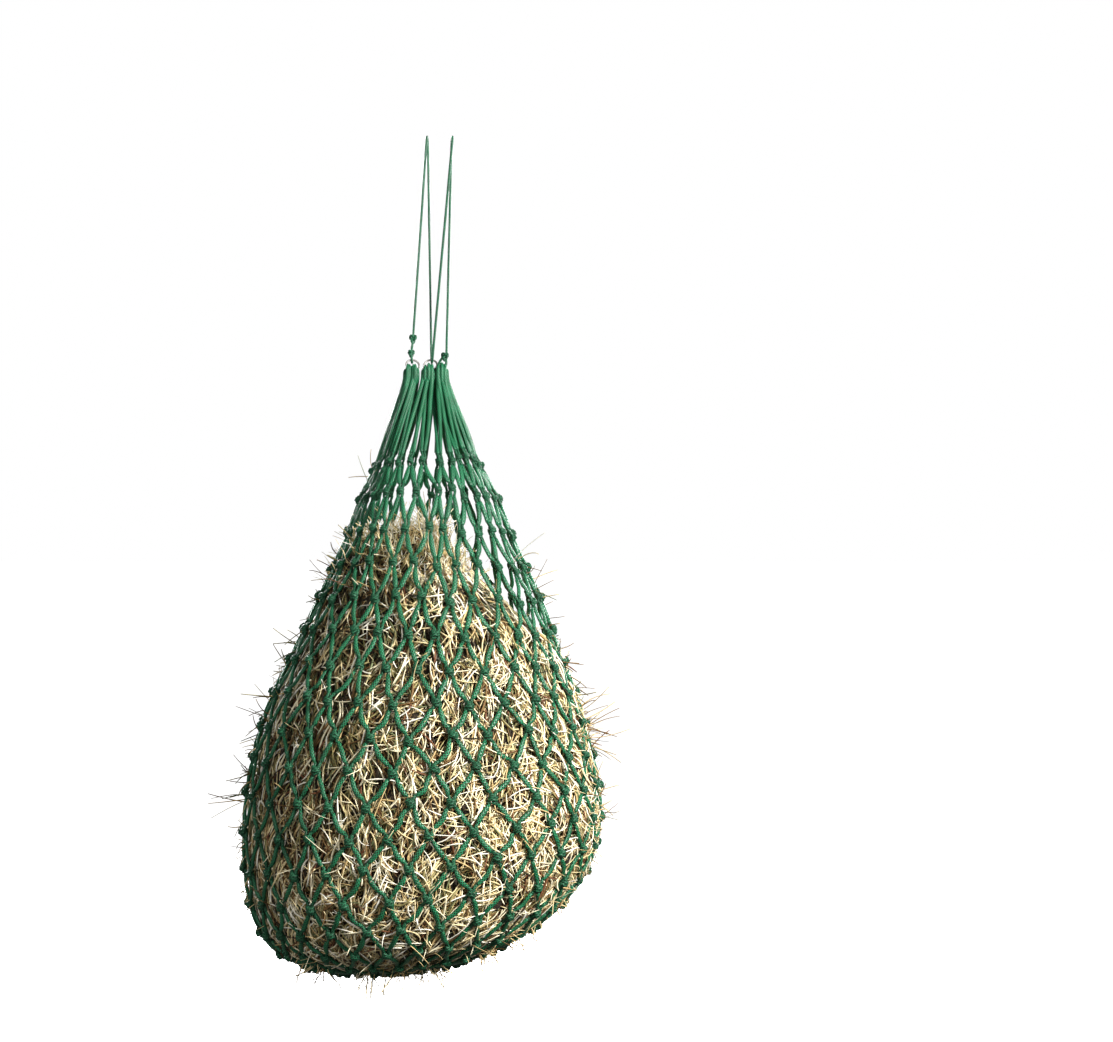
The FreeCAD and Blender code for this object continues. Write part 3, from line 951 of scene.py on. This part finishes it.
def crowding_and_shade(row, mesh):
    """1 where the netting crowds over sunken hay, high up on the left, and partly so at
    the far left and at the base, 0 elsewhere. Stalks there also take darker tones by it:
    painted shade on the left and at the base."""
    across = np.cos(np.asarray(mesh) * MESH_TURN)
    high_left = np.clip(0.2 - across, 0, 1) * np.clip((12.5 - row) / 5.0, 0, 1)
    far_left = 0.7 * np.clip(-4 * across - 3.0, 0, 1)
    base = np.clip(row - 15.0, 0, 0.6)
    return np.maximum(np.maximum(high_left, far_left), base)


def hay_point(row, mesh, lift):
    """Points at a height above the hay's surface, which bulges out of every mesh."""
    crowded = crowding_and_shade(row, mesh)
    bulge = between_cords(row, mesh) * (BULGE - CROWDED_BULGE * crowded)
    sunk = SUNK + CROWDED_SINK * crowded
    return surface(row, mesh, lift + bulge - sunk, hay_fullness(row, mesh))


MASS_DEPTH = 7.5 * MM  # how deep under the hay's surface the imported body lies
LUMP_WAVES = 40


def make_hay_mass():
    """The body of packed hay under the stalks, lumpy, and painted dark as shade."""
    rows = np.linspace(1.72, ROUNDS, 190)
    places = np.linspace(0, MESHES, 325)[:-1]
    row, mesh = np.meshgrid(rows, places, indexing="ij")
    lumps = np.zeros(row.shape)
    for _ in range(LUMP_WAVES):
        along, across = chance.normal(0, 2.6), chance.integers(-40, 41)
        wave = np.sin(along * row + across * mesh * MESH_TURN + chance.uniform(0, 6.3))
        lumps += wave * 0.5 * MM
    points = hay_point(row, mesh, lumps - MASS_DEPTH)
    verts = points.reshape(-1, 3)
    index = np.arange(verts.shape[0]).reshape(row.shape)
    beside = np.roll(index, -1, axis=1)
    quads = np.stack([index[:-1], index[1:], beside[1:], beside[:-1]], -1).reshape(-1, 4)
    caps = np.stack([index[0, ::-1], index[-1]])
    piece = make_object("hay_mass", verts, quads, caps, None, [hay_mass()])
    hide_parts("hay_core")
    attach(piece, "net")


make_hay_mass()

STALK_POINTS = 7
ROW_STEP = 42 * MM  # about how far down the net one row lies below another
CLUMP_SIZE = 14  # stalks that share a direction
CLUMP_SPREAD = 0.24  # how far they lie from their middle, in rows or meshes


def stalk_arrays(row, mesh, turn, length, width, curl, dip, stand):
    """Stalks on the hay's surface: where, which way, how long, and how they leave it."""
    along = np.linspace(-0.5, 0.5, STALK_POINTS)[None, :]
    radius = section_at(row)[1][:, None]
    direction = turn[:, None] + curl[:, None] * along
    step = length[:, None] / (STALK_POINTS - 1)
    down = np.cumsum(np.cos(direction) * step, axis=1)
    across = np.cumsum(np.sin(direction) * step, axis=1)
    down -= down[:, STALK_POINTS // 2, None]
    across -= across[:, STALK_POINTS // 2, None]
    narrow = np.maximum(hay_fullness(row, mesh), 0.35)[:, None]
    place_row = row[:, None] + down / ROW_STEP
    place_mesh = mesh[:, None] + across / (MESH_TURN * radius * narrow)
    place_row = np.clip(place_row, 0.8, ROUNDS)
    tips = 2 * along
    lift = dip[:, None] + stand[:, None] * np.maximum(tips, 0) ** 1.5
    lift = lift - 2.0 * MM * tips ** 2
    paths = hay_point(place_row, place_mesh, lift)
    middle = paths.mean(axis=1, keepdims=True)
    outward = unit((middle - (-0.02, 0, 0)) * (1, 1, 0.15)) + 0 * paths
    taper = 1 - 0.55 * np.abs(tips) ** 3
    half = width[:, None] / 2 * taper
    return paths, outward, half


def stalk_piece(name, paths, outward, half, tones, flat=0.55):
    """One piece of many three-sided stalks, each with its own tone."""
    verts, quads, caps, _ = sweep(paths, outward, half, half * flat, 3)
    index = np.concatenate([np.repeat(tones, 3 * (STALK_POINTS - 1)), tones, tones])
    piece = make_object(name, verts, quads, caps, None, STALK_MATERIALS, index)
    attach(piece, "net")
    return piece


WIDEST = 0.222  # about the net's largest radius


def scatter(count, first_row, last_row):
    """Even places over the net's surface between two rows."""
    row = chance.uniform(first_row, last_row, count * 3)
    keep = chance.uniform(0, 1, count * 3) < section_at(row)[1] / WIDEST
    row = row[keep][:count]
    return row, chance.uniform(0, MESHES, len(row))


def make_layer(name, count, rows, lengths, widths, curls, dips, tallest, tones):
    """A layer of single stalks that lie every way, with sizes and depths in millimetres."""
    row, mesh = scatter(count, *rows)
    count = len(row)
    turn = chance.uniform(0, math.pi, count)
    length = chance.uniform(*lengths, count) * MM
    width = chance.uniform(*widths, count) * MM
    curl = chance.normal(0, curls, count)
    dip = chance.uniform(*dips, count) * MM
    stand = chance.uniform(0, tallest, count) * MM if tallest else np.zeros(count)
    picked = chance.choice(tones, count)
    arrays = stalk_arrays(row, mesh, turn, length, width, curl, dip, stand)
    stalk_piece(name, *arrays, picked)


def make_stalks(number, count, first_row, last_row):
    """A layer of stalks in clumps that share a direction."""
    clump_row, clump_mesh = scatter(count // CLUMP_SIZE, first_row, last_row)
    clump_turn = np.where(
        chance.uniform(0, 1, len(clump_row)) < 0.5,
        chance.normal(0.15, 0.45, len(clump_row)), chance.uniform(0, math.pi, len(clump_row)),
    )
    pick = chance.integers(0, len(clump_row), count)
    row = clump_row[pick] + chance.normal(0, CLUMP_SPREAD, count)
    mesh = clump_mesh[pick] + chance.normal(0, CLUMP_SPREAD, count)
    row = np.clip(row, 1.75, ROUNDS - 0.2)
    turn = clump_turn[pick] + chance.normal(0, 0.36, count)
    length = chance.uniform(18, 58, count) * MM
    width = (1.5 + 2.0 * chance.uniform(0, 1, count) ** 1.4) * MM
    bent = np.where(chance.uniform(0, 1, count) < 0.35, 1.7, 0.5)
    curl = chance.normal(0, 1, count) * bent
    dip = chance.uniform(-8.5, 1.5, count) * MM
    crowded = crowding_and_shade(row, mesh)
    stand = np.where(chance.uniform(0, 1, count) < 0.14 * (1 - 0.8 * crowded),
                     chance.uniform(3, 14, count), chance.normal(0, 1.6, count)) * MM
    tones = chance.choice(len(TONES), count, p=TONE_SHARES)
    # Deep stalks take darker tones, and so do many where the netting crowds: painted shade.
    deep = dip < -4.5 * MM
    in_painted_shade = chance.uniform(0, 1, count) < 0.75 * crowded
    tones = np.where(deep & (tones < 3), tones + 3, tones)
    tones = np.where(in_painted_shade, chance.choice(PAINTED_SHADE_TONES, count), tones)
    arrays = stalk_arrays(row, mesh, turn, length, width, curl, dip, stand)
    stalk_piece(f"hay_stalks_{number:02d}", *arrays, tones)


# Places in TONES. A tone that is named more often is picked more often. The bed tones
# and the painted-shade tones are dark: painted shade deep in the hay, on the left and at the
# base.
BED_SHADE_TONES = [3, 4, 5, 5, 6, 7, 7, 7]
PAINTED_SHADE_TONES = [3, 4, 5, 7, 7]
TOP_TONES = [0, 0, 1, 8, 8]
CROWN_TONES = [0, 1, 2, 3, 8]
STALK_PIECES = 6
STALKS_EACH = 5000

# A bed of dark stalks under the others: painted shade deep in the hay.
make_layer("hay_bed_1", 5000, (2.0, ROUNDS - 0.2), (25, 60), (1.8, 3.4), 0.4, (-8.5, -5.0), 0,
           BED_SHADE_TONES)
for number in range(1, STALK_PIECES + 1):
    make_stalks(number, STALKS_EACH, 1.8, ROUNDS - 0.3)
make_layer("hay_top_stalks", 1900, (3.0, ROUNDS - 0.8), (20, 50), (2.0, 3.1), 0.9, (0.0, 3.5),
           5.0, TOP_TONES)


def bent_stalks(direction, bend, length, bow):
    """Steps from the root of stalks that start in one direction and bend off another way."""
    along = np.linspace(0, 1, STALK_POINTS)
    reach = direction[:, None, :] * along[None, :, None] * length[:, None, None]
    arc = bend[:, None, :] * (along ** 2)[None, :, None] * length[:, None, None] * bow
    return reach + arc, along[None, :]


WISPS = 800
WISP_BOW = 0.28  # how far a stalk's tip bends off, as a share of its length
SPRAY_BOW = 0.45
ROOT_DEPTH = 6 * MM  # how far inside the hay or the net they root


def make_wisps():
    """Loose stalks that stand out through the meshes all round."""
    row, mesh = scatter(WISPS, 3.0, ROUNDS - 0.5)
    count = len(row)
    base = hay_point(row, mesh, -ROOT_DEPTH)
    sideways, up, outward = surface_frame(row, mesh)
    lean_side = chance.normal(0, 1.3, count)[:, None]
    lean_up = chance.normal(-0.1, 1.3, count)[:, None]
    direction = unit(outward + sideways * lean_side + up * lean_up)
    bend = unit(chance.normal(0, 1, (count, 3)))
    length = chance.uniform(14, 40, count) * MM
    stretch, along = bent_stalks(direction, bend, length, WISP_BOW)
    paths = base[:, None, :] + stretch
    half = chance.uniform(0.4, 1.1, count)[:, None] * MM * (1 - 0.6 * along ** 2)
    tones = chance.choice(len(TONES), count, p=TONE_SHARES)
    normals = np.broadcast_to(up[:, None, :], paths.shape)
    piece = stalk_piece("loose_wisps", paths, normals, half, tones, 0.7)
    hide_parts("hay_stalks")


make_wisps()


# How far a loose stalk may stand out to the left, to the right and down: axis, limit, way.
REACH_LIMITS = [(0, -0.289, -1), (0, 0.242, 1), (2, -1.080, -1)]


def sprays(name, roots, directions, spreads, lengths, widths, tones):
    """Loose stalks from given roots, each in its own direction with a gentle bend."""
    count = len(roots)
    direction = unit(directions + chance.normal(0, 1, (count, 3)) * spreads[:, None])
    bend = unit(chance.normal(0, 1, (count, 3)))
    stretch, along = bent_stalks(direction, bend, lengths, SPRAY_BOW)
    room = np.ones(count)
    for axis, limit, way in REACH_LIMITS:
        allowed = (limit - roots[:, axis]) * way
        tip = stretch[:, -1, axis] * way
        room = np.minimum(room, np.where(tip > allowed, allowed / np.maximum(tip, 1e-6), 1))
    paths = roots[:, None, :] + stretch * room[:, None, None]
    half = widths[:, None] / 2 * (1 - 0.4 * along ** 2)
    side = unit(np.cross(direction, (0.1, 0.2, 1.0)))
    normals = np.broadcast_to(side[:, None, :], (count, STALK_POINTS, 3))
    stalk_piece(name, paths, normals, half, tones, 0.6)


CROWN_STALKS = 1200


def make_crown():
    """The ragged top of the heap: stalks that stand and lie every way among the cords."""
    mesh = chance.normal(17.0, 5.0, CROWN_STALKS)
    row = HEAP_TOP + 2.0 * chance.uniform(0, 1, CROWN_STALKS)
    roots = hay_point(row, mesh, -14 * MM)
    lengths = chance.uniform(14, 36, CROWN_STALKS) * MM
    widths = (1.0 + 1.6 * chance.uniform(0, 1, CROWN_STALKS) ** 2) * MM
    outward = unit((roots - (-0.012, 0, 0)) * (1, 1, 0) + (0, 1e-6, 0))
    directions = outward * 0.1 + np.array((-0.2, 0, 0.8))
    tones = chance.choice(CROWN_TONES, CROWN_STALKS)
    spreads = np.full(CROWN_STALKS, 0.60)
    sprays("hay_crown", roots, directions, spreads, lengths, widths, tones)


TUFTS = [
    # row, mesh, direction, spread, count, lengths (mm), tones
    (10, 13.6, (-1, -0.2, 0), 0.7, 14, (16, 40), (1, 2, 3, 5)),
    (10.1, 13.5, (-1, -0.1, 0.1), 0.1, 2, (44, 48), (3, 5)),
    (11.3, 13.9, (-1, -0.3, -0.3), 0.8, 14, (14, 34), (1, 2, 3)),
    (9.3, 13.9, (-1, -0.5, 0.2), 0.8, 14, (18, 40), (3, 4, 5)),
    (7.6, 13.8, (-1, -0.5, 0.4), 0.8, 14, (18, 40), (3, 4, 5)),
    (5.5, 13.8, (-1, -0.5, 0.4), 0.8, 10, (18, 38), (3, 4, 5)),
    (3.4, 13.8, (-1, -0.4, 0.7), 0.7, 6, (24, 44), (4, 5)),
    (3.6, 26.2, (1, -0.4, 0.5), 0.8, 8, (20, 40), (2, 4, 5)),
    (6.9, 26.3, (1, -0.4, 0.3), 0.8, 12, (18, 38), (2, 3, 5)),
    (14, 25.6, (0.9, -0.5, -0.5), 0.8, 14, (18, 40), (1, 2, 5)),
    (12.4, 13.8, (-1, -0.3, -0.3), 0.8, 10, (14, 34), (1, 2, 3)),
    (8.6, 13.4, (-1, -0.4, 0.3), 0.8, 14, (12, 34), (1, 3, 4, 5)),
    (6.4, 13.6, (-1, -0.3, 0.5), 0.8, 12, (12, 30), (2, 3, 5)),
    (4.4, 13.7, (-1, -0.3, 0.5), 0.8, 8, (12, 34), (3, 4, 5)),
    (13.2, 14.2, (-1, -0.5, -0.4), 0.8, 12, (12, 30), (0, 1, 3)),
    (8.2, 26.6, (1, -0.4, 0.1), 0.5, 34, (16, 34), (2, 5, 6)),
    (7.6, 26.7, (0.85, -0.3, 0.75), 0.14, 4, (46, 56), (2, 5)),
    (8.5, 26.7, (1, -0.2, -0.35), 0.18, 4, (44, 52), (2, 5)),
    (8.1, 26.7, (1, -0.2, 0.2), 0.12, 2, (44, 50), (2,)),
    (6, 26.4, (1, -0.3, 0.2), 0.8, 16, (16, 34), (2, 5, 7)),
    (5, 26.4, (1, -0.3, 0.4), 0.8, 8, (12, 30), (2, 5, 7)),
    (10.5, 26.3, (0.9, -0.5, -0.1), 0.8, 18, (12, 28), (2, 3, 5)),
    (12.5, 26, (0.9, -0.5, -0.4), 0.8, 14, (12, 28), (2, 3, 5)),
    (16.6, 21.6, (0.3, -0.3, -1), 0.5, 18, (26, 46), (0, 1, 2)),
    (16.6, 20, (0, -0.3, -1), 0.5, 18, (26, 46), (1, 2, 3)),
    (16.5, 18.2, (-0.3, -0.3, -1), 0.5, 18, (26, 46), (0, 1, 3)),
    (15.8, 23.4, (0.6, -0.3, -0.9), 0.5, 20, (22, 44), (1, 2, 5)),
    (15, 25, (0.8, -0.3, -0.8), 0.5, 14, (20, 40), (1, 2, 5)),
    (15.6, 16.4, (-0.5, -0.3, -0.9), 0.5, 20, (22, 44), (1, 2, 5)),
    (2.9, 25, (0.65, -0.5, 0.75), 0.1, 2, (52, 60), (1, 8)),
    (0.4, 13.6, (-0.7, -0.3, 0.6), 0.4, 4, (30, 46), (2, 4)),
]


TUFT_SCATTER = 0.30  # how far a tuft's roots lie from its middle, in rows or meshes


def make_tufts():
    """Larger tufts that have worked out through single meshes."""
    tufts = []
    for row, mesh, direction, spread, count, lengths, tones in TUFTS:
        places = chance.normal(0, TUFT_SCATTER, (2, count))
        tufts.append((
            surface(row + places[0], mesh + places[1], -ROOT_DEPTH),
            np.tile(unit(np.array(direction)), (count, 1)),
            np.full(count, spread),
            chance.uniform(*lengths, count) * MM,
            chance.uniform(1.2, 2.1, count) * MM,
            chance.choice(tones, count),
        ))
    sprays("hay_tufts", *[np.concatenate(values) for values in zip(*tufts)])


make_crown()
make_tufts()


# -------- studio
FLOOR = -1.30
FLOOR_HALF = 60.0  # half the floor's width
AIM = Vector((0, 0, -0.6))  # where every light points
AMBIENT = 0.14
LIGHTS = [
    # name, place, power in watts, side of the square
    ("key", (2.2, -2.1, 0.7), 285, 0.6),
    ("fill", (0.4, -3.6, 0.0), 17, 1.4),
    ("left_fill", (-2.6, -1.9, 0.1), 34, 0.9),
    ("back_right", (1.8, 3.0, 0.4), 150, 1.2),
    ("back_left", (-1.2, 3.3, 0.5), 220, 1.2),
]


def make_lights():
    """Square soft lights, the nearest and hardest in front on the right."""
    for name, place, power, side in LIGHTS:
        data = bpy.data.lights.new(name, "AREA")
        data.energy = power
        data.shape = "RECTANGLE"
        data.size = side
        data.size_y = side
        lamp = bpy.data.objects.new(name, data)
        lamp.location = place
        lamp.rotation_euler = (AIM - Vector(place)).to_track_quat("-Z", "Y").to_euler()
        bpy.context.scene.collection.objects.link(lamp)


def make_studio():
    """A plain pale floor and a white background that lights the object faintly."""
    corners = [(-1, -1), (1, -1), (1, 1), (-1, 1)]
    verts = np.array([(x * FLOOR_HALF, y * FLOOR_HALF, FLOOR) for x, y in corners])
    nodes = Nodes("pale_floor")
    grain = nodes.noise(3.0)
    pale = nodes.ramp(grain, (0.3, (0.86, 0.86, 0.86, 1)), (0.7, (0.90, 0.90, 0.90, 1)))
    nodes.shade("Base Color", pale)
    nodes.shade("Roughness", 0.9)
    nodes.shade("Emission Color", (1, 1, 1, 1))
    nodes.shade("Emission Strength", 1.0)
    floor = make_object("floor", verts, np.array([[0, 1, 2, 3]]), NO_CAPS, None, [nodes.material])
    floor.visible_diffuse = False
    floor.visible_glossy = False
    world = bpy.data.worlds.new("studio")
    bpy.context.scene.world = world
    world.use_nodes = True
    tree = world.node_tree
    background = tree.nodes["Background"]
    seen = tree.nodes.new("ShaderNodeLightPath").outputs["Is Camera Ray"]
    strength = tree.nodes.new("ShaderNodeMapRange")
    strength.inputs["To Min"].default_value = AMBIENT
    strength.inputs["To Max"].default_value = 1.0
    tree.links.new(seen, strength.inputs["Value"])
    tree.links.new(strength.outputs["Result"], background.inputs["Strength"])
    background.inputs["Color"].default_value = (1, 1, 1, 1)
    bpy.context.scene.view_settings.view_transform = "Standard"


make_studio()
make_lights()
